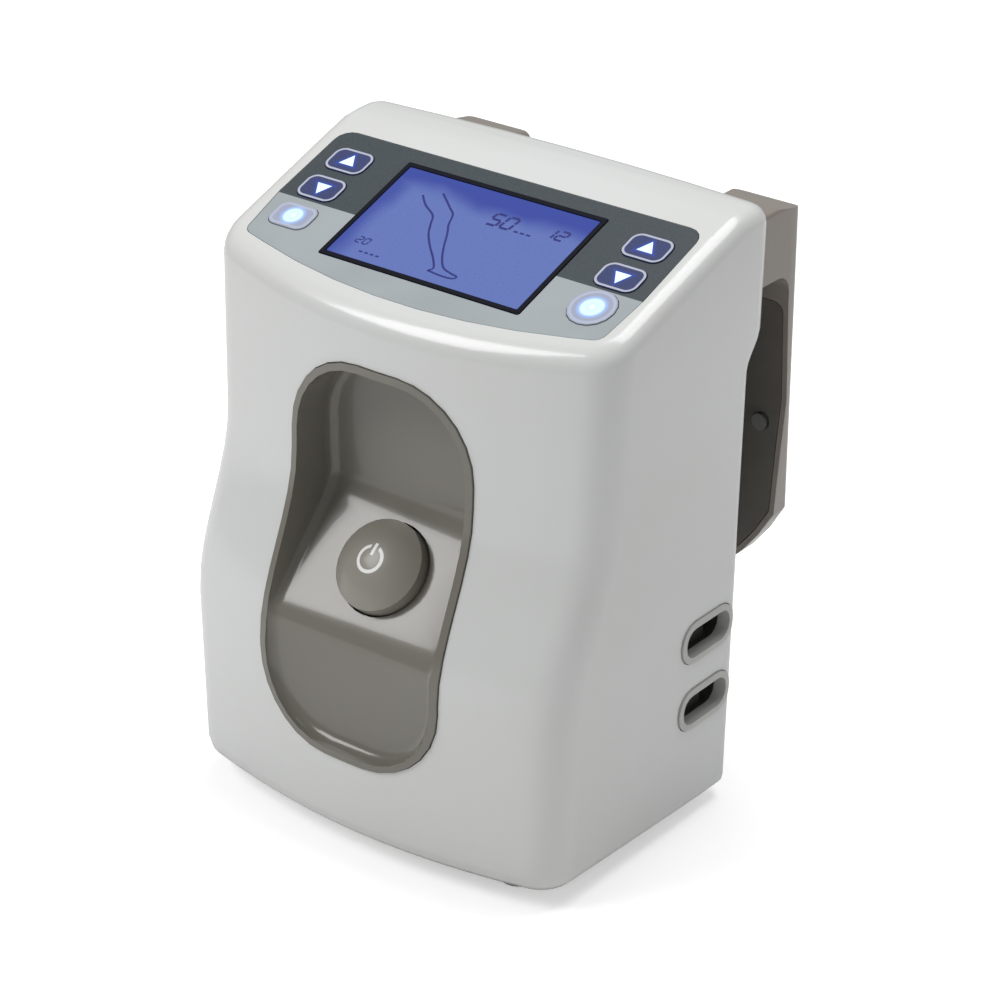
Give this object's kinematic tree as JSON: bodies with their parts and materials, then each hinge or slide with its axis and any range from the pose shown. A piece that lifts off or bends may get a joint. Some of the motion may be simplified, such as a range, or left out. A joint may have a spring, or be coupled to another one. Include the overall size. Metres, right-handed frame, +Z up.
{
  "type": "compression therapy pump",
  "caption": "Bedside air pump with a sloping keypad panel, a recessed round power button, side hose ports, rubber feet and a bed hook that pulls out at the rear.",
  "frame": {"origin": "on the floor under the middle of the part, rubber feet resting on z = 0", "axes": "+Z up, +Y to the rear where the bed hook is, +X to the side with the hose ports (the viewer's right)"},
  "size_m": [0.1742, 0.1502, 0.2278],
  "materials": {
    "white_gloss": "glossy moulded housing plastic",
    "taupe_gloss": "glossy taupe plastic",
    "taupe_button": "glossy taupe plastic, a shade darker",
    "taupe_dark": "satin taupe plastic",
    "overlay_film": "printed membrane film in two greys",
    "black_frame": "near-black plastic",
    "display_glass": "blue backlit display window",
    "key_navy": "navy key film",
    "key_glow": "pale blue lit key film",
    "grey_plastic": "satin grey plastic",
    "dark_plastic": "matt dark plastic",
    "foot_rubber": "grey rubber",
    "screw_steel": "plain steel",
    "chassis_aluminium": "bare aluminium sheet",
    "circuit_board": "green circuit board",
    "tube_pvc": "pale flexible tube"
  },
  "bodies": {
    "housing": {"front_shell": "white_gloss", "rear_cover": "white_gloss", "recess_liner": "taupe_gloss", "power_switch": "dark_plastic", "control_overlay": "overlay_film", "lcd_bezel": "black_frame", "lcd_window": "display_glass", "lcd_module": "grey_plastic", "display_board": "circuit_board", "port_bezel_upper": "grey_plastic", "port_bezel_lower": "grey_plastic", "port_socket_upper": "dark_plastic", "port_socket_lower": "dark_plastic", "foot_front_left": "foot_rubber", "foot_front_right": "foot_rubber", "foot_rear_left": "foot_rubber", "foot_rear_right": "foot_rubber", "hook_carrier": "dark_plastic", "cover_screw_lower_left": "screw_steel", "cover_screw_lower_right": "screw_steel", "cover_screw_upper_left": "screw_steel", "cover_screw_upper_right": "screw_steel", "mains_inlet": "black_frame", "chassis": "chassis_aluminium", "main_board": "circuit_board", "power_supply": "chassis_aluminium", "pump_head": "grey_plastic", "pump_motor": "screw_steel", "pump_cushion_front_left": "foot_rubber", "pump_cushion_front_right": "foot_rubber", "pump_cushion_rear_left": "foot_rubber", "pump_cushion_rear_right": "foot_rubber", "valve_manifold": "grey_plastic", "valve_left": "screw_steel", "valve_right": "screw_steel", "air_tube_upper": "tube_pvc", "air_tube_lower": "tube_pvc", "pump_tube": "tube_pvc"},
    "power_button": {"power_button": "taupe_button"},
    "key_left_up": {"key_left_up": "key_navy"},
    "key_left_down": {"key_left_down": "key_navy"},
    "key_left_glow": {"key_left_glow": "key_glow"},
    "key_right_up": {"key_right_up": "key_navy"},
    "key_right_down": {"key_right_down": "key_navy"},
    "key_right_glow": {"key_right_glow": "key_glow"},
    "bed_hook": {"hook_shell": "taupe_gloss", "hook_liner": "taupe_dark", "hook_screw_left": "screw_steel", "hook_screw_right": "screw_steel"}
  },
  "joints": [
    {"name": "power_button_press", "type": "slide", "parent": "housing", "child": "power_button", "axis": [0, 0.7314, -0.682], "range_m": [0, 0.003], "stiffness_N_per_m": 400, "springref_m": -0.003},
    {"name": "key_left_up_press", "type": "slide", "parent": "housing", "child": "key_left_up", "axis": [0, 0.3355, -0.9421], "range_m": [0, 0.0005], "stiffness_N_per_m": 1500, "springref_m": -0.0005},
    {"name": "key_left_down_press", "type": "slide", "parent": "housing", "child": "key_left_down", "axis": [0, 0.3355, -0.9421], "range_m": [0, 0.0005], "stiffness_N_per_m": 1500, "springref_m": -0.0005},
    {"name": "key_left_glow_press", "type": "slide", "parent": "housing", "child": "key_left_glow", "axis": [0, 0.3355, -0.9421], "range_m": [0, 0.0005], "stiffness_N_per_m": 1500, "springref_m": -0.0005},
    {"name": "key_right_up_press", "type": "slide", "parent": "housing", "child": "key_right_up", "axis": [0, 0.3355, -0.9421], "range_m": [0, 0.0005], "stiffness_N_per_m": 1500, "springref_m": -0.0005},
    {"name": "key_right_down_press", "type": "slide", "parent": "housing", "child": "key_right_down", "axis": [0, 0.3355, -0.9421], "range_m": [0, 0.0005], "stiffness_N_per_m": 1500, "springref_m": -0.0005},
    {"name": "key_right_glow_press", "type": "slide", "parent": "housing", "child": "key_right_glow", "axis": [0, 0.3355, -0.9421], "range_m": [0, 0.0005], "stiffness_N_per_m": 1500, "springref_m": -0.0005},
    {"name": "bed_hook_slide", "type": "slide", "parent": "housing", "child": "bed_hook", "axis": [0, 1, 0], "range_m": [0, 0.018]}
  ]
}
